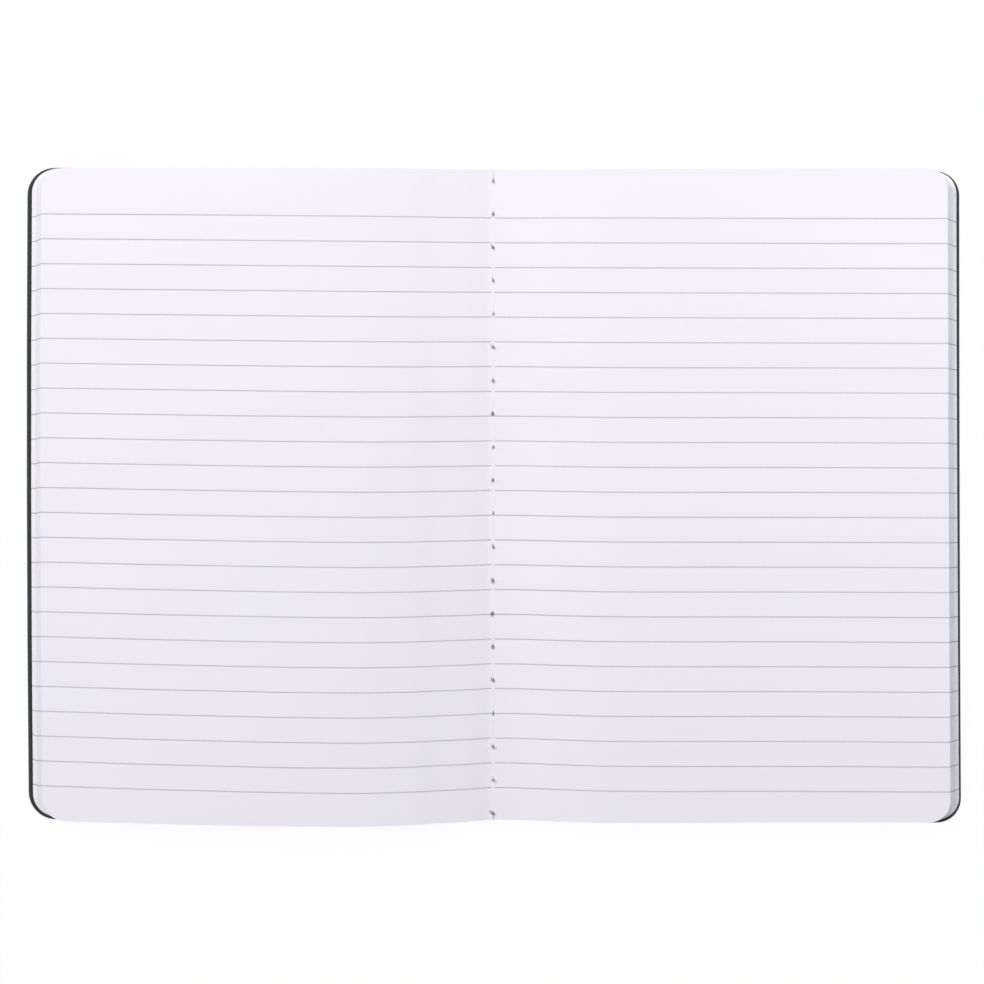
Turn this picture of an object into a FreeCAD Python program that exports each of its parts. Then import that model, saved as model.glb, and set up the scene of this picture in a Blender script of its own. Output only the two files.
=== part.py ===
import FreeCAD, Part
import os
from math import cos, pi, sin
from FreeCAD import Vector

# Sewn notebook with a soft card cover, lying open at its centre spread.
# X runs across the spread, Y toward the head of the page, Z up from the table.
# The fold, the thread and the hinge of the covers all lie on x = 0.

page_h = 210.0          # leaves and cover are trimmed together at head and tail
cover_w = 151.5         # one half of the opened cover, fold to fore-edge
cover_t = 0.5           # card
corner_r = 7.5          # outer corners, cut through the whole closed notebook
half_pages = 2.4        # thickness of one half of the section at the fold

# Rim of cover that stands out past the outer leaf of each half.
front_rim = 1.8
back_rim = 1.1
# Folded sheets creep: the centre leaf ends this much further in than the outer one.
front_creep = 4.2
back_creep = 4.6

# Rise of the opened leaves over the fold, and its course from fold (0) to fore-edge (1).
front_rise = 6.1
front_arch = ((0.02, 0.11), (0.05, 0.25), (0.12, 0.50), (0.21, 0.82), (0.36, 1.00), (0.65, 0.80), (1.0, 0.31))
back_rise = 3.1
back_arch = ((0.04, 0.03), (0.15, 0.53), (0.35, 1.00), (0.65, 0.87), (1.0, 1.02))

# Sewing through the fold.
thread_r = 0.18
thread_clear = 0.05
needle_r = 0.3
needle_count = 20
needle_head = 3.6       # first hole from the head edge
needle_tail = 2.2       # last hole from the tail edge

fold_z = cover_t + half_pages
front_outer_leaf_w = cover_w - front_rim
back_outer_leaf_w = cover_w - back_rim
needle_step = (page_h - needle_head - needle_tail) / (needle_count - 1)
needles = [page_h / 2 - needle_head - i * needle_step for i in range(needle_count)]
margin = 2.0            # overrun of the cutting shapes


def outline(width, z, start):
    """Sheet outline from x = start to the fore-edge, with its two outer corners rounded."""
    h = page_h / 2
    r = corner_r
    k = r * (1 - 0.5 ** 0.5)
    low = Part.Arc(Vector(width - r, -h, z), Vector(width - k, -h + k, z), Vector(width, -h + r, z))
    top = Part.Arc(Vector(width, h - r, z), Vector(width - k, h - k, z), Vector(width - r, h, z))
    edges = [
        Part.makeLine(Vector(start, -h, z), Vector(width - r, -h, z)),
        low.toShape(),
        Part.makeLine(Vector(width, -h + r, z), Vector(width, h - r, z)),
        top.toShape(),
        Part.makeLine(Vector(width - r, h, z), Vector(start, h, z)),
        Part.makeLine(Vector(start, h, z), Vector(start, -h, z)),
    ]
    return Part.Face(Part.Wire(edges))


def bar(radius, start, run):
    """Slender six-sided bar from start along run, as wide as a round one of that radius."""
    side = Vector(1, 0, 0)
    across = run.cross(side).normalize()
    ring = [start + (side * cos(i * pi / 3) + across * sin(i * pi / 3)) * radius for i in range(7)]
    return Part.Face(Part.makePolygon(ring)).extrude(run)


def along_fold(radius, z, y0, y1):
    return bar(radius, Vector(0, y0, z), Vector(0, y1 - y0, 0))


def needle_holes(z0, z1):
    return Part.makeCompound([bar(needle_r, Vector(0, y, z0), Vector(0, 0, z1 - z0)) for y in needles])


def cover():
    card = outline(cover_w, 0, 0).extrude(Vector(0, 0, cover_t))
    bed = along_fold(thread_r + thread_clear, thread_r, needles[-1] - needle_r, needles[0] + needle_r)
    return card.cut(bed).cut(needle_holes(-margin, cover_t + margin))


def pages(outer_w, creep, rise, arch):
    """One half of the section: flat on the cover, arched on top, leaning in toward the centre."""
    h = page_h / 2 + margin
    centre_w = outer_w - creep
    crown = [Vector(0, -h, fold_z)] + [Vector(x * centre_w, -h, fold_z + f * rise) for x, f in arch]
    curve = Part.BSplineCurve()
    curve.interpolate(crown)
    end = crown[-1]
    out = Vector(outer_w + margin, -h, end.z)
    profile = Part.Wire([
        curve.toShape(),
        Part.makeLine(end, out),
        Part.makeLine(out, Vector(out.x, -h, cover_t)),
        Part.makeLine(Vector(out.x, -h, cover_t), Vector(0, -h, cover_t)),
        Part.makeLine(Vector(0, -h, cover_t), crown[0]),
    ])
    crowned = Part.Face(profile).extrude(Vector(0, 2 * h, 0))
    tall = half_pages + rise + margin
    slope = creep / (end.z - cover_t)
    leaned = outline(outer_w, cover_t, -slope * tall - margin).extrude(Vector(-slope * tall, 0, tall))
    half = crowned.common(leaned)
    half = half.cut(along_fold(thread_r + thread_clear, fold_z, -h, h))
    return half.cut(needle_holes(0, fold_z + margin))


def thread():
    """Inner run on the hinge line, outer run bedded in the cover, a leg through each hole."""
    y0, y1 = needles[-1], needles[0]
    runs = along_fold(thread_r, fold_z, y0, y1).fuse(along_fold(thread_r, thread_r, y0, y1))
    legs = [bar(thread_r, Vector(0, y, thread_r), Vector(0, 0, fold_z - thread_r)) for y in needles]
    return runs.fuse(legs).removeSplitter()


def other_side(shape):
    return shape.mirror(Vector(0, 0, 0), Vector(1, 0, 0))


os.makedirs("parts", exist_ok=True)
parts = {
    "back_cover": cover(),
    "front_cover": other_side(cover()),
    "right_pages": pages(back_outer_leaf_w, back_creep, back_rise, back_arch),
    "left_pages": other_side(pages(front_outer_leaf_w, front_creep, front_rise, front_arch)),
    "sewing_thread": thread(),
}
for name, shape in parts.items():
    shape.exportStep("parts/" + name + ".step")
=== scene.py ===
import bpy
import math
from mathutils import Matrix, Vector


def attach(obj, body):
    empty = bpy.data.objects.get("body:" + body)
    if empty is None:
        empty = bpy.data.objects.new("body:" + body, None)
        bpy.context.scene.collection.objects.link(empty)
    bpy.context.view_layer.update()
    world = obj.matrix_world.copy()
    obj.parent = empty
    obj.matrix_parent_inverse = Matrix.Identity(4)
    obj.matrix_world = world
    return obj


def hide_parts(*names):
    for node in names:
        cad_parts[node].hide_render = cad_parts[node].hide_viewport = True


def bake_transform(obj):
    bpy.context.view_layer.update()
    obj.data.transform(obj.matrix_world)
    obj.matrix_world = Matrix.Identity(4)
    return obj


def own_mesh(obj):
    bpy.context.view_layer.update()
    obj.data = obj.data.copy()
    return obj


# Open notebook: one section of ruled sheets, sewn through the fold into a soft card cover.
# Lengths are in metres. The fold runs along Y at x = 0, and the head of the page is at +Y.

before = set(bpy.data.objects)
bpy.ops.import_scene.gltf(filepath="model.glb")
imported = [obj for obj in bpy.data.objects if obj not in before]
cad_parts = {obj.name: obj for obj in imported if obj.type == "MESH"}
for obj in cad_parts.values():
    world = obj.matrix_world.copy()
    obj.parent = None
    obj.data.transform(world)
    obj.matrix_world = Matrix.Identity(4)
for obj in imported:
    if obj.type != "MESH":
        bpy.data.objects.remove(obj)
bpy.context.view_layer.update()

MM = 0.001

# Card and leaves.
PAGE_H = 210 * MM
HALF_H = PAGE_H / 2
COVER_W = 151.5 * MM
COVER_T = 0.5 * MM
COVER_CORNER = 8.4 * MM         # the wear along the card's edge turns round its corners by this
COVER_OVER = 0.8 * MM           # the card stands out this far beyond the pages at head and tail
COVER_OVER_START = 50 * MM      # and does so in full from this distance to the fold
FOLD_Z = 2.9 * MM               # the centre sheet at the fold, and the hinge line
BLOCK_TOP = 2.5 * MM            # flat leaves under the ones that arch
LEAF_T = 0.07 * MM
FLAT_LEAVES = 24
FANNED_LEAVES = 6
BEND = 4.6 * MM                 # card and flat leaves bend over this on each side of the fold
BOW_REACH = 97 * MM             # a fore-edge's bow and slant are read this far from mid-height
SAG = 0.16                      # a raised leaf slips this share of its height toward the tail
JITTER = 0.05 * MM              # flat leaves lie this much out of line

# Needle holes and thread.
NEEDLES = 20
NEEDLE_TAIL = 2.2 * MM          # last hole from the tail edge
NEEDLE_HEAD = 3.6 * MM          # first hole from the head edge
STEP = (PAGE_H - NEEDLE_HEAD - NEEDLE_TAIL) / (NEEDLES - 1)
LAST_Y = -HALF_H + NEEDLE_TAIL
HOLE_ROWS = 196                 # rows of the centre leaf, which crowd at the holes
CROWDING = 0.2                  # spacing of those rows at a hole, as a share of the mean
PRESSED = 0.5 * MM              # the paper gives way this far from a hole
THREAD_BED_W = 0.26 * MM        # half the width of the bed that the thread presses in the card
THREAD_BED_DEPTH = 0.34 * MM
THREAD_POINTS = 1600
PLY_SPREAD = 0.9                # distance of a ply from the thread's middle, in ply radii

# Ruling.
RULE_STEP = 8.0 * MM
RULE_FIRST = 89.4 * MM          # top line above the middle of the page
RULE_COUNT = 24
RULE_W = 0.34 * MM

# The two halves. outer is the width of the outer leaf and creep what the centre leaf lacks of it.
# arch is the course of the rise, from fold (0) to fore-edge (1). lean is how far the centre leaf
# lies toward the head for each metre from the fold, and drift how far its ruling does so. under_
# stands for the flat leaves and cover_ for the card. bow and slant say how far a fore-edge moves
# in X between mid-height and tail.
LEFT = dict(
    body="front_half", node="left_pages", sign=-1,
    outer=150.1 * MM, creep=4.4 * MM, corner=7.5 * MM, rise=6.1 * MM,
    lean=0.0030, under_lean=0.0038, drift=0.0058, under_drift=0.0004,
    bow=0.41 * MM, slant=0.17 * MM,
    cover_bow=0.41 * MM, cover_slant=0.2 * MM, cover_lean=0.0027, cover_corner=8.9 * MM,
    arch=((0, 0), (0.0085, 0.004), (0.02, 0.065), (0.05, 0.235), (0.12, 0.50), (0.21, 0.82),
          (0.36, 1.0), (0.65, 0.80), (1, 0.31)))
RIGHT = dict(
    body="back_half", node="right_pages", sign=1,
    outer=150.75 * MM, creep=4.6 * MM, corner=6.9 * MM, rise=3.1 * MM,
    lean=0.0024, under_lean=-0.0020, drift=-0.0046, under_drift=-0.0042,
    bow=0.14 * MM, slant=0.42 * MM,
    cover_bow=0.13 * MM, cover_slant=0.26 * MM, cover_lean=-0.0046, cover_corner=7.9 * MM,
    arch=((0, 0), (0.02, 0.01), (0.04, 0.03), (0.15, 0.53), (0.35, 0.98), (0.65, 0.87), (1, 1.0)))

# Stage.
FLOOR_SIZE = 3.0                # half its width
FLOOR_WHITE = 0.965             # share of plain white that the eye sees on the floor
ROOM_LIGHT = 0.247
CAMERA_REACH = 450 * MM         # above the fold
FRAME_W = 317.9 * MM            # what the picture spans at the height of the fold
SENSOR_W = 36.0


def side_at(x):
    return LEFT if x < 0 else RIGHT


# Node building.

class Field:
    """A value that varies over a surface: a node socket that takes plain arithmetic."""

    def __init__(self, tree, socket):
        self.tree, self.socket = tree, socket

    def op(self, name, *others):
        """The result of a Math node of this kind."""
        node = self.tree.nodes.new("ShaderNodeMath")
        node.operation = name
        for socket, value in zip(node.inputs, (self,) + others):
            feed(self.tree, socket, value)
        return Field(self.tree, node.outputs[0])

    def __add__(self, other):
        return self.op("ADD", other)

    def __sub__(self, other):
        return self.op("SUBTRACT", other)

    def __mul__(self, other):
        return self.op("MULTIPLY", other)

    def __truediv__(self, other):
        return self.op("DIVIDE", other)

    def __pow__(self, other):
        return self.op("POWER", other)

    def __neg__(self):
        return self.op("MULTIPLY", -1.0)

    def __abs__(self):
        return self.op("ABSOLUTE")

    def less_than(self, other):
        return self.op("LESS_THAN", other)

    def at_least(self, low):
        return self.op("MAXIMUM", low)

    def at_most(self, high):
        return self.op("MINIMUM", high)

    def nearest(self, last):
        """The nearest whole number from 0 to last."""
        return self.op("ROUND").at_least(0.0).at_most(last)

    def bell(self):
        """1 at zero, falling off smoothly to both sides."""
        return (-self ** 2.0).op("EXPONENT")


def feed(tree, socket, value):
    """Joins a field or a socket to an input, or sets a plain value on it."""
    if isinstance(value, Field):
        value = value.socket
    if isinstance(value, bpy.types.NodeSocket):
        tree.links.new(value, socket)
    else:
        socket.default_value = value


def add(tree, kind, output=0, settings=(), **inputs):
    """Adds a node, with its settings and its inputs by name, and gives the wanted output."""
    node = tree.nodes.new(kind)
    for key, value in dict(settings).items():
        setattr(node, key, value)
    for key, value in inputs.items():
        name = key.replace("_", " ")
        socket = next(s for s in node.inputs if s.name == name and s.enabled)
        feed(tree, socket, value)
    return Field(tree, node.outputs[output])


def split(tree, vector):
    """The three parts of a vector."""
    node = tree.nodes.new("ShaderNodeSeparateXYZ")
    feed(tree, node.inputs[0], vector)
    return [Field(tree, s) for s in node.outputs]


def joined(tree, x, y, z):
    """A vector of three parts."""
    node = tree.nodes.new("ShaderNodeCombineXYZ")
    for socket, value in zip(node.inputs, (x, y, z)):
        feed(tree, socket, value)
    return Field(tree, node.outputs[0])


def new_tree(name, kind, inputs, outputs):
    """An empty group with named sockets, and its inputs by name."""
    tree = bpy.data.node_groups.new(name, kind)
    for direction, sockets in (("INPUT", inputs), ("OUTPUT", outputs)):
        for label, socket_type, *default in sockets:
            item = tree.interface.new_socket(
                name=label, in_out=direction, socket_type="NodeSocket" + socket_type)
            if default:
                item.default_value = default[0]
    source = tree.nodes.new("NodeGroupInput")
    return tree, {s.name: Field(tree, s) for s in source.outputs if s.name}


def finish_tree(tree, **outputs):
    """Joins the results to the group's outputs."""
    sink = tree.nodes.new("NodeGroupOutput")
    for key, value in outputs.items():
        feed(tree, next(s for s in sink.inputs if s.name == key), value)


def merged(tree, geometries):
    """Several geometries as one."""
    node = tree.nodes.new("GeometryNodeJoinGeometry")
    for geometry in geometries:
        tree.links.new(geometry.socket, node.inputs[0])
    return Field(tree, node.outputs[0])


def placed(name, data):
    """A new object in the scene."""
    item = bpy.data.objects.new(name, data)
    bpy.context.collection.objects.link(item)
    return item


def grown(name, tree, values):
    """The plain mesh piece that a geometry tree makes with these values."""
    holder = placed(name + "_maker", bpy.data.meshes.new(name + "_maker"))
    modifier = holder.modifiers.new("maker", "NODES")
    modifier.node_group = tree
    for item in tree.interface.items_tree:
        if item.in_out == "INPUT" and item.name in values:
            modifier[item.identifier] = values[item.name]
    bpy.context.view_layer.update()
    made = holder.evaluated_get(bpy.context.evaluated_depsgraph_get())
    mesh = bpy.data.meshes.new_from_object(made)
    bpy.data.objects.remove(holder)
    mesh.name = name
    return placed(name, mesh)


# Materials.

def srgb(r, g, b):
    """A colour as a picture shows it, from 0 to 255."""
    return tuple(((c / 255 + 0.055) / 1.055) ** 2.4 if c > 10 else c / 255 / 12.92
                 for c in (r, g, b)) + (1,)


def fibre_group():
    """Felted fibres: a fine height and a slow tint, for paper, card and thread."""
    tree, given = new_tree(
        "felted_fibres", "ShaderNodeTree",
        [("Vector", "Vector"), ("Fibre Size", "Float", 0.0003), ("Cloud Size", "Float", 0.03)],
        [("Height", "Float"), ("Cloud", "Float")])

    def scaled(size):
        return add(tree, "ShaderNodeVectorMath", settings=dict(operation="SCALE"),
                   Vector=given["Vector"], Scale=size ** -1.0)

    fine = add(tree, "ShaderNodeTexNoise", Vector=scaled(given["Fibre Size"]),
               Scale=1.0, Detail=5.0, Roughness=0.65, Distortion=1.2)
    cloud = add(tree, "ShaderNodeTexNoise", Vector=scaled(given["Cloud Size"]),
                Scale=1.0, Detail=2.0, Roughness=0.5)
    finish_tree(tree, Height=fine, Cloud=cloud)
    return tree


def felted(tree, fibres, fibre_size, cloud_size):
    """Height and cloud of the fibres, in the piece's own coordinates."""
    node = tree.nodes.new("ShaderNodeGroup")
    node.node_tree = fibres
    feed(tree, node.inputs["Vector"], add(tree, "ShaderNodeTexCoord", output="Object"))
    feed(tree, node.inputs["Fibre Size"], fibre_size)
    feed(tree, node.inputs["Cloud Size"], cloud_size)
    return Field(tree, node.outputs["Height"]), Field(tree, node.outputs["Cloud"])


def on_sheet(tree):
    """Place on the flat sheet: distance from the fold and height on the page."""
    return split(tree, add(tree, "ShaderNodeUVMap", settings=dict(uv_map="sheet")))[:2]


def new_material(name, roughness, specular):
    """A material with its node tree and its main shader."""
    material = bpy.data.materials.new(name)
    material.use_nodes = True
    shader = material.node_tree.nodes["Principled BSDF"]
    shader.inputs["Roughness"].default_value = roughness
    shader.inputs["Specular IOR Level"].default_value = specular
    return material, material.node_tree, shader


def mixed(tree, factor, first, second):
    """From the first colour at factor 0 to the second at 1."""
    node = tree.nodes.new("ShaderNodeMix")
    node.data_type = "RGBA"
    feed(tree, node.inputs["Factor"], factor)
    for socket, value in zip([s for s in node.inputs if s.type == "RGBA"], (first, second)):
        feed(tree, socket, value)
    return Field(tree, next(s for s in node.outputs if s.type == "RGBA"))


def bumped(tree, shader, height, distance, strength):
    """Gives the surface a fine relief."""
    feed(tree, shader.inputs["Normal"],
         add(tree, "ShaderNodeBump", Height=height, Distance=distance, Strength=strength))


def ramped(tree, value, low, high, ends=(0.0, 1.0), course="SMOOTHSTEP"):
    """The first end where the value is below low, and the second where it is above high."""
    node = tree.nodes.new("ShaderNodeMapRange")
    node.interpolation_type = course
    feed(tree, node.inputs["Value"], value)
    for label, number in zip(("From Min", "From Max", "To Min", "To Max"), (low, high) + ends):
        node.inputs[label].default_value = number
    return Field(tree, node.outputs["Result"])


def painted_hole_shade(tree, along, across, height):
    """How strongly painted shade darkens the paper round the nearest needle hole, no two alike."""
    hole = ((across - LAST_Y) / STEP).nearest(NEEDLES - 1.0)
    chance = add(tree, "ShaderNodeTexWhiteNoise", output="Color",
                 settings=dict(noise_dimensions="1D"), W=hole + 0.37)
    tilt_by, size_by, strength_by = split(tree, chance)
    tilt = tilt_by * 1.3 - 0.35
    sine, cosine = tilt.op("SINE"), tilt.op("COSINE")
    off = across - (hole * STEP + LAST_Y) + (size_by - 0.5) * (0.5 * MM)
    aside = along + (strength_by * 0.5 - 0.15) * MM
    narrow = (aside * cosine + off * sine) / ((size_by * 0.25 + 0.42) * MM)
    long = (off * cosine - aside * sine) / ((tilt_by * 0.6 + 0.75) * MM)
    reach = (narrow ** 2.0 + long ** 2.0).op("SQRT") + (height - 0.5) * 2.4
    return (-ramped(tree, reach, 0.3, 1.3) + 1.0) * (strength_by * 0.6 + 0.3)


def ruled_paper(fibres):
    """Uncoated writing paper with its ruling, with painted shade round the needle holes and painted
    light on the fore-edge bands, read in the sheet's own coordinates.
    """
    material, tree, shader = new_material("ruled_paper", 0.78, 0.25)
    page, page_clouded = srgb(241, 239, 251), srgb(244, 240, 251)
    # painted light: both fore-edge bands of the lower leaves get a lighter colour, the right one most,
    # against the shade that falls there
    left_band_painted_light, right_band_painted_light = srgb(244, 243, 250), srgb(247, 248, 255)
    # the ruling is print; the second colour is painted shade, the dark of the needle holes laid on the
    # paper
    ruling, hole_shade_colour = srgb(186, 182, 194), srgb(112, 106, 118)
    height, cloud = felted(tree, fibres, 0.45 * MM, 55 * MM)
    along, across = on_sheet(tree)

    row = (-across + RULE_FIRST) / RULE_STEP
    away = abs(row - row.nearest(RULE_COUNT - 1.0)) * RULE_STEP
    # the ink spreads a little into the felt, so the line has a soft, slightly uneven edge
    ragged = (height - 0.5) * (0.22 * MM)
    line = ramped(tree, away + ragged, RULE_W * 0.30, RULE_W * 0.72, ends=(1.0, 0.0), course="LINEAR")
    # and the printing stops short of the fold
    beside_fold = ramped(tree, abs(along), 0.25 * MM, 0.6 * MM)
    ink = line * ((cloud - 0.5) * 0.35 + 0.9) * beside_fold

    ground = mixed(tree, cloud, page, page_clouded)
    # the fore-edge bands of the lower leaves, beyond the centre leaf, are painted lighter, the right
    # one most: painted light against the shade that falls on them
    ground = mixed(tree, ramped(tree, -along, 145.7 * MM, 146.5 * MM), ground, left_band_painted_light)
    ground = mixed(tree, ramped(tree, along, 145.9 * MM, 146.7 * MM), ground, right_band_painted_light)
    tone = mixed(tree, ink, ground, ruling)
    # painted shade round each needle hole
    tone_with_hole_shade = mixed(tree, painted_hole_shade(tree, along, across, height), tone, hole_shade_colour)
    feed(tree, shader.inputs["Base Color"], tone_with_hole_shade)
    bumped(tree, shader, height, 0.02 * MM, 0.35)
    return material


def cover_card(fibres):
    """Dyed card: charcoal, felted, rubbed paler along its cut edges and on the fold."""
    material, tree, shader = new_material("cover_card", 0.7, 0.15)
    dye, dye_clouded = srgb(43, 47, 49), srgb(52, 56, 58)
    fleck, rubbed = srgb(76, 80, 82), srgb(116, 119, 120)
    height, cloud = felted(tree, fibres, 0.7 * MM, 20 * MM)
    along, across = on_sheet(tree)

    past_side = abs(along) - (COVER_W - COVER_CORNER)
    past_end = abs(across) - (HALF_H + COVER_OVER - COVER_CORNER)
    round_corner = (past_side.at_least(0.0) ** 2.0 + past_end.at_least(0.0) ** 2.0).op("SQRT")
    inset = -round_corner - past_side.at_least(past_end).at_most(0.0) + COVER_CORNER
    at_edge = ramped(tree, inset, 0.1 * MM, 0.9 * MM) * -0.45 + 0.45
    at_fold = ramped(tree, abs(along), 0.3 * MM, 1.8 * MM) * -0.4 + 0.4
    rub = at_edge.at_least(at_fold) * (height * 1.6 - 0.3).at_least(0.0).at_most(1.0)

    dyed = mixed(tree, cloud, dye, dye_clouded)
    flecked = mixed(tree, (height - 0.56).at_least(0.0) * 1.6, dyed, fleck)
    feed(tree, shader.inputs["Base Color"], mixed(tree, rub, flecked, rubbed))
    feed(tree, shader.inputs["Roughness"], height * 0.25 + 0.6)
    bumped(tree, shader, height, 0.06 * MM, 0.6)
    return material


def white_thread(fibres):
    """Spun white thread with a soft sheen."""
    material, tree, shader = new_material("white_thread", 0.55, 0.4)
    shader.inputs["Sheen Weight"].default_value = 0.247
    height, cloud = felted(tree, fibres, 0.12 * MM, 6 * MM)
    feed(tree, shader.inputs["Base Color"],
         mixed(tree, cloud, srgb(250, 250, 252), srgb(240, 240, 244)))
    bumped(tree, shader, height, 0.02 * MM, 0.6)
    return material


def hole_shade(fibres):
    """Painted shade for the inside of a needle hole: a dark colour that stands in for the little light
    that comes there.
    """
    material, tree, shader = new_material("needle_hole_shade", 0.95, 0.1)
    height, _ = felted(tree, fibres, 0.2 * MM, 2 * MM)
    # painted shade: these dark colours stand in for the shade inside the hole
    feed(tree, shader.inputs["Base Color"],
         mixed(tree, height, srgb(98, 94, 102), srgb(164, 159, 168)))
    return material


fibres = fibre_group()
PAPER, CARD = ruled_paper(fibres), cover_card(fibres)
THREAD, SHADE = white_thread(fibres), hole_shade(fibres)


# Sheets made as meshes.

def half_height(x, width, corner):
    """Half the height of a rounded-corner sheet at a distance from the fold."""
    past = max(0.0, x - (width - corner))
    return HALF_H - corner + math.sqrt(max(0.0, corner ** 2 - past ** 2))


def stations(width, corner):
    """Distances from the fold: close together where a sheet bends and round its corners."""
    near = [BEND * i / 18 for i in range(19)]
    far = [BEND + (width - corner - BEND) * i / 6 for i in range(1, 6)]
    rounded = [width - corner + corner * math.sin(math.pi / 2 * i / 12) for i in range(13)]
    return near + far + rounded


def bowed(y, bow, slant):
    """How far a fore-edge stands to the right at a height on the page."""
    part = y / BOW_REACH
    return bow * part ** 2 - slant * part


def flat_sheet(builder, halves, low, high, shift,
               print_shift=lambda x: 0.0, bed=lambda x: 0.0, taller=0.0):
    """Adds one closed flat sheet that runs across the fold. halves holds width, corner, bow and
    slant of its left and right half. shift is how far it lies toward the head, and print_shift
    how far its ruling does. bed is how far its underside is pressed in, and taller what it has
    beyond the pages at head and tail."""
    verts, faces, sheet = builder
    rows = (-1, -0.5, 0, 0.5, 1)
    n = len(rows)
    left, right = halves
    xs = [-x for x in reversed(stations(*left[:2]))] + stations(*right[:2])[1:]
    start = len(verts)
    for x in xs:
        width, corner, bow, slant = left if x < 0 else right
        tall = half_height(abs(x), width, corner) + taller * min(1.0, abs(x) / COVER_OVER_START)
        for z in (low + bed(x), high):
            for row in rows:
                y = row * tall
                verts.append((x + bowed(y, bow, slant) * abs(x) / width, y + shift(x), z))
                sheet.append((x, y - print_shift(x)))
    last = start + 2 * n * (len(xs) - 1)
    for a in range(start, last, 2 * n):
        b = a + 2 * n
        for j in range(n - 1):
            faces.append((a + j, a + j + 1, b + j + 1, b + j))                  # underside
            faces.append((a + j + n, b + j + n, b + j + n + 1, a + j + n + 1))  # top
        faces.append((a, b, b + n, a + n))                                      # tail edge
        faces.append((a + n - 1, a + 2 * n - 1, b + 2 * n - 1, b + n - 1))      # head edge
    for j in range(n - 1):
        a, b = start + j, last + j
        faces.append((a, a + n, a + n + 1, a + 1))                              # left fore-edge
        faces.append((b, b + 1, b + n + 1, b + n))                              # right fore-edge


def mesh_piece(name, builder, material):
    """The piece made of all sheets in a builder."""
    verts, faces, sheet = builder
    mesh = bpy.data.meshes.new(name)
    mesh.from_pydata(verts, [], faces)
    layer = mesh.uv_layers.new(name="sheet")
    for loop in mesh.loops:
        layer.data[loop.index].uv = sheet[loop.vertex_index]
    mesh.materials.append(material)
    mesh.validate()
    mesh.shade_smooth()
    mesh.set_sharp_from_angle(angle=math.radians(40))
    return placed(name, mesh)


def thread_bed(x):
    """The outer thread presses a shallow bed into the card along the fold."""
    return THREAD_BED_DEPTH * max(0.0, 1 - (x / THREAD_BED_W) ** 2)


def make_cover():
    """One card, folded a little out of square: each half leans its own way."""
    builder = ([], [], [])
    halves = [(COVER_W, side["cover_corner"], side["cover_bow"], side["cover_slant"])
              for side in (LEFT, RIGHT)]
    flat_sheet(builder, halves, 0.0, COVER_T, shift=lambda x: abs(x) * side_at(x)["cover_lean"],
               bed=thread_bed, taller=COVER_OVER)
    piece = mesh_piece("notebook_cover", builder, CARD)
    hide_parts("front_cover", "back_cover")
    bend_round_spine(piece)


def make_flat_leaves():
    """The leaves below the opening, one sheet each, unbroken through the fold."""
    builder = ([], [], [])
    pitch = (BLOCK_TOP - COVER_T) / FLAT_LEAVES
    for i in range(FLAT_LEAVES):
        top = COVER_T + pitch * (i + 1)
        jitter = JITTER * math.sin(i * 2.4)
        halves = []
        for side in (LEFT, RIGHT):
            end_z = FOLD_Z + side["rise"] * side["arch"][-1][1]
            width = side["outer"] - side["creep"] * (top - COVER_T) / (end_z - COVER_T)
            halves.append((width + jitter, side["corner"], side["bow"], side["slant"]))

        def shift(x, jitter=jitter):
            return side_at(x)["under_lean"] * abs(x) + jitter * min(1.0, abs(x) / (30 * MM))

        def print_shift(x):
            return side_at(x)["under_drift"] * abs(x)

        flat_sheet(builder, halves, top - LEAF_T, top, shift, print_shift)
    piece = mesh_piece("flat_leaves", builder, PAPER)
    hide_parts("left_pages", "right_pages")
    bend_round_spine(piece)


def bend_round_spine(piece):
    """Bakes the piece's place into its mesh; nothing bends it round the spine here."""
    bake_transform(piece)


# Leaves that arch, as geometry nodes.

def arch_course(tree, side, distance):
    """The share of the rise at a distance from the fold, which runs from 0 to 1."""
    node = tree.nodes.new("ShaderNodeFloatCurve")
    node.mapping.use_clip = False
    curve = node.mapping.curves[0]
    # read against the root of the distance, which gives the bend beside the fold more room
    for i, (along, height) in enumerate(side["arch"]):
        if i < 2:
            curve.points[i].location = (math.sqrt(along), height)
        else:
            curve.points.new(math.sqrt(along), height)
    for point in curve.points:
        point.handle_type = "AUTO_CLAMPED"
    node.mapping.update()
    feed(tree, node.inputs["Value"], distance.op("SQRT"))
    return Field(tree, node.outputs[0])


def numbered_grids(tree, leaves, rows):
    """One unit grid for each leaf, and the number of the leaf that a point belongs to."""
    grid = add(tree, "GeometryNodeMeshGrid", Size_X=1.0, Size_Y=1.0, Vertices_X=72, Vertices_Y=rows)
    points = add(tree, "GeometryNodeMeshLine", Count=leaves, Offset=(0.0, 0.0, 0.0))
    copies = add(tree, "GeometryNodeInstanceOnPoints", Points=points, Instance=grid)
    noted = add(tree, "GeometryNodeStoreNamedAttribute",
                settings=dict(domain="INSTANCE", data_type="FLOAT"),
                Geometry=copies, Name="leaf", Value=add(tree, "GeometryNodeInputIndex"))
    number = add(tree, "GeometryNodeInputNamedAttribute", settings=dict(data_type="FLOAT"), Name="leaf")
    return add(tree, "GeometryNodeRealizeInstances", Geometry=noted), number


def closed_leaves(tree, top, thickness):
    """Gives the leaves a thickness, closes them and keeps their cut edges sharp."""
    under = add(tree, "GeometryNodeFlipFaces", Mesh=top)
    walled = add(tree, "GeometryNodeExtrudeMesh", Mesh=under, Offset=(0.0, 0.0, -1.0),
                 Offset_Scale=thickness, Individual=False)
    closed = add(tree, "GeometryNodeMergeByDistance", Geometry=merged(tree, (top, walled)),
                 Distance=0.001 * MM)
    turned = -add(tree, "GeometryNodeInputMeshEdgeAngle")
    return add(tree, "GeometryNodeSetShadeSmooth", settings=dict(domain="EDGE"), Geometry=closed,
               Selection=turned.less_than(-0.7), Shade_Smooth=False)


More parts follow.
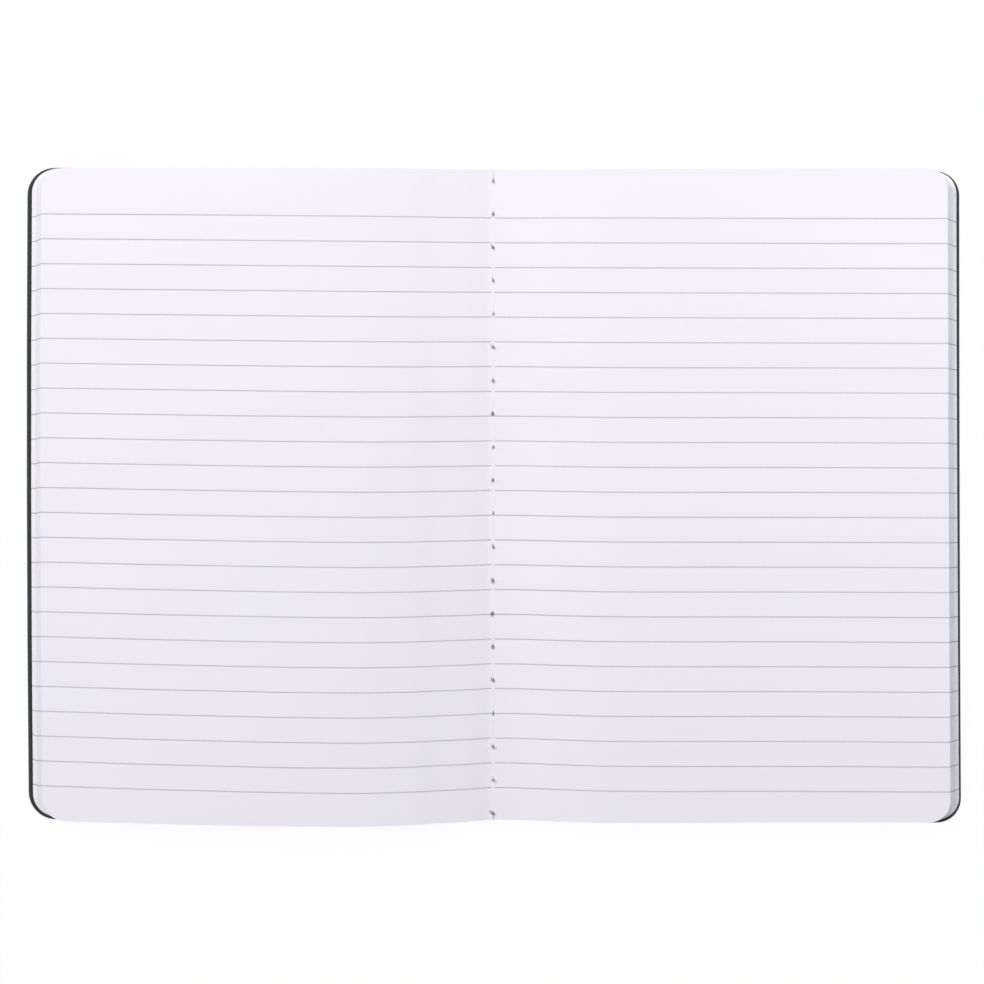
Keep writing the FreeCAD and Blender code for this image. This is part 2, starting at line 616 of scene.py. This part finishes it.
def leaf_tree(side):
    """A fan of arched leaves on one side of the fold, each a closed thin sheet."""
    mirrored = side["sign"] < 0
    tree, given = new_tree(
        "left_leaf_fan" if mirrored else "right_leaf_fan", "GeometryNodeTree",
        [("Leaves", "Int", 6), ("First", "Float", 0.0), ("Fan Size", "Float", 6.0),
         ("Rows", "Int", 2), ("Outer Width", "Float", 0.15), ("Creep", "Float", 0.0042),
         ("Rise", "Float", 0.006), ("Thickness", "Float", LEAF_T), ("Lean", "Float", 0.0),
         ("Under Lean", "Float", 0.0), ("Drift", "Float", 0.0), ("Under Drift", "Float", 0.0),
         ("Corner", "Float", 0.0075), ("Bow", "Float", 0.0), ("Slant", "Float", 0.0),
         ("Slit", "Float", 0.0001), ("Notch", "Float", 0.0), ("Pucker", "Float", 0.0)],
        [("Geometry", "Geometry")])
    sheets, leaf = numbered_grids(tree, given["Leaves"], given["Rows"])
    u, v, _ = split(tree, add(tree, "GeometryNodeInputPosition"))
    u, v = u + 0.5, v + 0.5

    share = (leaf + given["First"] + 1.0) / given["Fan Size"]
    lift = share ** 1.15
    end_share = side["arch"][-1][1]
    end_rise = given["Rise"] * lift * end_share
    fold_z = share * (FOLD_Z - BLOCK_TOP) + BLOCK_TOP
    whole = given["Rise"] * end_share + (FOLD_Z - COVER_T)
    width = given["Outer Width"] - given["Creep"] * (fold_z + end_rise - COVER_T) / whole

    # columns crowd together at the fold and round the corners, rows at the needle holes
    run = (u * math.pi).op("COSINE") * -0.5 + 0.5
    flat_x = run * width
    row = v * (NEEDLES - 1 + 0.5) - 0.2
    hole = row.nearest(NEEDLES - 1.0)
    off = row - hole
    drawn = off * CROWDING + off ** 3.0 * (4 * (1 - CROWDING))
    at_tail, at_head = v.less_than(0.0001), (-v + 1.0).less_than(0.0001)
    middle = ((hole + drawn) * STEP + LAST_Y) * (-(at_tail + at_head) + 1.0)
    base_y = middle + (at_head - at_tail) * HALF_H
    corner = given["Corner"]
    past = (flat_x - width + corner).at_least(0.0)
    drop = corner - (corner * corner - past * past).at_least(0.0).op("SQRT")
    y = base_y * (drop / -HALF_H + 1.0)

    # the paper gives way round each needle hole
    at_hole = (drawn * STEP / PRESSED).bell()
    inner = (-(flat_x / (1.6 * MM)) + 1.0).at_least(0.0)
    x = flat_x + inner * (given["Slit"] + given["Notch"] * at_hole)
    ridge = at_hole * given["Pucker"] * (flat_x / (1.3 * MM)).bell()

    climb = arch_course(tree, side, flat_x / width) * given["Rise"] * lift
    lean = given["Under Lean"] + (given["Lean"] - given["Under Lean"]) * share
    drift = given["Under Drift"] + (given["Drift"] - given["Under Drift"]) * share
    shift = flat_x * lean - climb * SAG
    part = y / BOW_REACH
    aside = (part * part * given["Bow"] - part * given["Slant"]) * run
    sign = float(side["sign"])
    place = joined(tree, x * sign + aside, y + shift, fold_z + climb + ridge)
    page = joined(tree, flat_x * sign, y - flat_x * drift, 0.0)

    noted = add(tree, "GeometryNodeStoreNamedAttribute",
                settings=dict(domain="CORNER", data_type="FLOAT2"),
                Geometry=sheets, Name="sheet", Value=page)
    bent = add(tree, "GeometryNodeSetPosition", Geometry=noted, Position=place)
    if mirrored:
        bent = add(tree, "GeometryNodeFlipFaces", Mesh=bent)
    closed = closed_leaves(tree, bent, given["Thickness"])
    plain = add(tree, "GeometryNodeRemoveAttribute", Geometry=closed, Name="leaf")
    real = add(tree, "GeometryNodeRealizeInstances", Geometry=plain)
    finish_tree(tree, Geometry=add(tree, "GeometryNodeSetMaterial", Geometry=real, Material=PAPER))
    return tree


def make_arched_leaves(side):
    """The centre leaf of one side, and the leaves that fan out below it."""
    tree = leaf_tree(side)
    word = side["node"].split("_")[0]
    common = {"Outer Width": side["outer"], "Creep": side["creep"], "Rise": side["rise"],
              "Fan Size": float(FANNED_LEAVES), "Corner": side["corner"],
              "Lean": side["lean"], "Under Lean": side["under_lean"],
              "Drift": side["drift"], "Under Drift": side["under_drift"],
              "Bow": side["bow"], "Slant": side["slant"]}
    centre = grown(word + "_centre_leaf", tree, dict(
        common, Leaves=1, First=FANNED_LEAVES - 1.0, Rows=HOLE_ROWS,
        Slit=0.03 * MM, Notch=0.16 * MM, Pucker=0.1 * MM))
    under = grown(word + "_fanned_leaves", tree, dict(
        common, Leaves=FANNED_LEAVES - 1, First=0.0, Rows=12,
        Slit=0.4 * MM, Notch=0.0, Pucker=0.0))
    for piece in (centre, under):
        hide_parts(side["node"])
        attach(piece, side["body"])
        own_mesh(piece)


# Sewing, as geometry nodes.

def stitch_tree():
    """Twisted thread along the fold that dips into every needle hole."""
    tree, given = new_tree(
        "running_stitch", "GeometryNodeTree",
        [("Level", "Float", FOLD_Z), ("Dip", "Float", 0.0006), ("Dip Length", "Float", 0.0007),
         ("Ply Radius", "Float", 0.00009), ("Twist Length", "Float", 0.0012),
         ("Plies", "Int", 2)],
        [("Geometry", "Geometry")])
    line = add(tree, "GeometryNodeCurvePrimitiveLine", Start=(0, LAST_Y, 0),
               End=(0, LAST_Y + STEP * (NEEDLES - 1), 0))
    line = add(tree, "GeometryNodeResampleCurve", Curve=line, Count=THREAD_POINTS)
    plies = tree.nodes.new("GeometryNodeDuplicateElements")
    plies.domain = "SPLINE"
    feed(tree, plies.inputs["Geometry"], line)
    feed(tree, plies.inputs["Amount"], given["Plies"])
    order = Field(tree, plies.outputs["Duplicate Index"])

    _, y, _ = split(tree, add(tree, "GeometryNodeInputPosition"))
    row = (y - LAST_Y) / STEP
    off = row - row.op("ROUND")
    level = given["Level"] - given["Dip"] * (off * STEP / given["Dip Length"]).bell()
    wander = (row * 2.1).op("SINE") * (0.05 * MM)
    turn = y * (2 * math.pi) / given["Twist Length"] + order * (2 * math.pi) / given["Plies"]
    x = wander + turn.op("COSINE") * given["Ply Radius"] * PLY_SPREAD
    z = level + turn.op("SINE") * given["Ply Radius"] * PLY_SPREAD
    wound = add(tree, "GeometryNodeSetPosition", Geometry=plies.outputs["Geometry"],
                Position=joined(tree, x, y, z))
    ring = add(tree, "GeometryNodeCurvePrimitiveCircle", Resolution=6, Radius=given["Ply Radius"])
    tube = add(tree, "GeometryNodeCurveToMesh", Curve=wound, Profile_Curve=ring, Fill_Caps=True)
    smooth = add(tree, "GeometryNodeSetShadeSmooth", Geometry=tube, Shade_Smooth=True)
    real = add(tree, "GeometryNodeRealizeInstances", Geometry=smooth)
    finish_tree(tree, Geometry=add(tree, "GeometryNodeSetMaterial", Geometry=real, Material=THREAD))
    return tree


def along_holes_tree(name, material, strokes):
    """Beads at every needle hole. Each stroke is a seed shift and a size."""
    tree, given = new_tree(
        name, "GeometryNodeTree",
        [("Level", "Float", 0.0), ("Width", "Float", 0.0003), ("Length", "Float", 0.0003),
         ("Depth", "Float", 0.001), ("Unevenness", "Float", 0.0), ("Seed", "Int", 5)],
        [("Geometry", "Geometry")])
    points = add(tree, "GeometryNodeMeshLine", Count=NEEDLES, Offset=(0.0, STEP, 0.0),
                 Start_Location=joined(tree, 0.0, LAST_Y, given["Level"]))
    bead = add(tree, "GeometryNodeMeshUVSphere", Segments=12, Rings=8, Radius=0.5)
    index = add(tree, "GeometryNodeInputIndex")

    def chance(low, high, shift):
        any_value = add(tree, "FunctionNodeRandomValue", output=1, settings=dict(data_type="FLOAT"),
                        Min=low, Max=high, ID=index, Seed=given["Seed"] + shift)
        return any_value * given["Unevenness"]

    def beads(shift, size):
        moved = joined(tree, chance(-0.14 * MM, 0.14 * MM, shift + 4.0),
                       chance(-0.4 * MM, 0.4 * MM, shift + 5.0), 0.0)
        width = given["Width"] * (chance(-0.5, 0.1, shift + 2.0) + size)
        length = given["Length"] * (chance(-0.5, 0.15, shift + 3.0) + size)
        return add(tree, "GeometryNodeInstanceOnPoints", Instance=bead,
                   Points=add(tree, "GeometryNodeSetPosition", Geometry=points, Offset=moved),
                   Rotation=joined(tree, 0.0, 0.0, chance(-0.45, 0.85, shift + 1.0)),
                   Scale=joined(tree, width, length, given["Depth"]))

    real = add(tree, "GeometryNodeRealizeInstances",
               Geometry=merged(tree, [beads(*stroke) for stroke in strokes]))
    smooth = add(tree, "GeometryNodeSetShadeSmooth", Geometry=real, Shade_Smooth=True)
    finish_tree(tree, Geometry=add(tree, "GeometryNodeSetMaterial", Geometry=smooth, Material=material))
    return tree


def make_sewing():
    """The thread inside and outside, its legs through the holes, and dark beads of painted shade in the
    holes.
    """
    stitch = stitch_tree()
    inner = grown("inner_stitches", stitch, {"Level": FOLD_Z - 0.06 * MM, "Dip": 0.6 * MM})
    outer = grown("outer_stitches", stitch,
                  {"Level": 0.2 * MM, "Dip": -0.3 * MM, "Ply Radius": 0.09 * MM})
    legs = grown("thread_legs", along_holes_tree("legs_in_holes", THREAD, [(0.0, 1.0)]),
                 {"Level": 1.15 * MM, "Width": 0.34 * MM, "Length": 0.34 * MM, "Depth": 2.3 * MM})
    for piece in (inner, outer, legs):
        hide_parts("sewing_thread")
        bend_round_spine(piece)
    # a hole is torn twice, by the needle and by the thread, so its painted shade is two dark beads
    hole_shade_tree = along_holes_tree("hole_shade_in_fold", SHADE, [(0.0, 1.0), (10.0, 0.8)])
    bend_round_spine(grown("needle_hole_shade_beads", hole_shade_tree,
                           {"Level": FOLD_Z - 0.1 * MM, "Width": 0.44 * MM, "Length": 0.95 * MM,
                            "Depth": 0.2 * MM, "Unevenness": 1.0}))


make_cover()
make_flat_leaves()
make_arched_leaves(LEFT)
make_arched_leaves(RIGHT)
make_sewing()


# Stage, light and camera.

def plain_to_the_eye(tree, lit, plain, share, output):
    """Shows the plain shader to the eye, in this share, and the lit one to all other light."""
    path = tree.nodes.new("ShaderNodeLightPath")
    camera, glossy, through = (Field(tree, path.outputs[label]) for label in (
        "Is Camera Ray", "Is Glossy Ray", "Is Transmission Ray"))
    seen = (camera + glossy + through).at_most(1.0)
    pick = tree.nodes.new("ShaderNodeMixShader")
    for socket, value in zip(pick.inputs, (seen * share, lit, plain)):
        feed(tree, socket, value)
    tree.links.new(pick.outputs[0], tree.nodes[output].inputs[0])


def make_floor():
    """A white floor that shows white to the eye and keeps a faint shadow."""
    mesh = bpy.data.meshes.new("floor")
    corners = [(-1, -1), (1, -1), (1, 1), (-1, 1)]
    mesh.from_pydata([(x * FLOOR_SIZE, y * FLOOR_SIZE, -0.01 * MM) for x, y in corners],
                     [], [(0, 1, 2, 3)])
    material, tree, shader = new_material("white_floor", 0.9, 0.1)
    shader.inputs["Base Color"].default_value = (0.9, 0.9, 0.9, 1)
    glow = add(tree, "ShaderNodeEmission", Color=(1, 1, 1, 1), Strength=1.0)
    plain_to_the_eye(tree, shader.outputs[0], glow, FLOOR_WHITE, "Material Output")
    mesh.materials.append(material)
    placed("floor", mesh)


def make_world():
    """Soft light from all round, in a room that looks white."""
    world = bpy.data.worlds.new("studio")
    bpy.context.scene.world = world
    world.use_nodes = True
    tree = world.node_tree
    soft = tree.nodes["Background"]
    soft.inputs["Color"].default_value = (1, 1, 1, 1)
    soft.inputs["Strength"].default_value = ROOM_LIGHT
    white = add(tree, "ShaderNodeBackground", Color=(1, 1, 1, 1), Strength=1.0)
    plain_to_the_eye(tree, soft.outputs[0], white, 1.0, "World Output")


def make_light(name, place, size, power):
    """A square lamp that faces the middle of the spread."""
    light = bpy.data.lights.new(name, "AREA")
    light.shape = "SQUARE"
    light.size = size
    light.energy = power
    lamp = placed(name, light)
    lamp.location = place
    lamp.rotation_euler = (-Vector(place)).to_track_quat("-Z", "Y").to_euler()


def make_camera():
    """Straight above the spread."""
    data = bpy.data.cameras.new("camera")
    data.sensor_width = SENSOR_W
    data.lens = SENSOR_W * CAMERA_REACH / FRAME_W
    data.clip_start, data.clip_end = 0.01, 20.0
    camera = placed("camera", data)
    camera.location = (-0.4 * MM, 0.9 * MM, FOLD_Z + CAMERA_REACH)
    bpy.context.scene.camera = camera


make_floor()
make_world()
make_light("key", (-1.15, 1.0, 1.2), 1.1, 32.6)
make_light("fill", (0.6, 0.5, 0.4), 0.7, 4.35)
make_camera()
bpy.context.scene.view_settings.view_transform = "Standard"
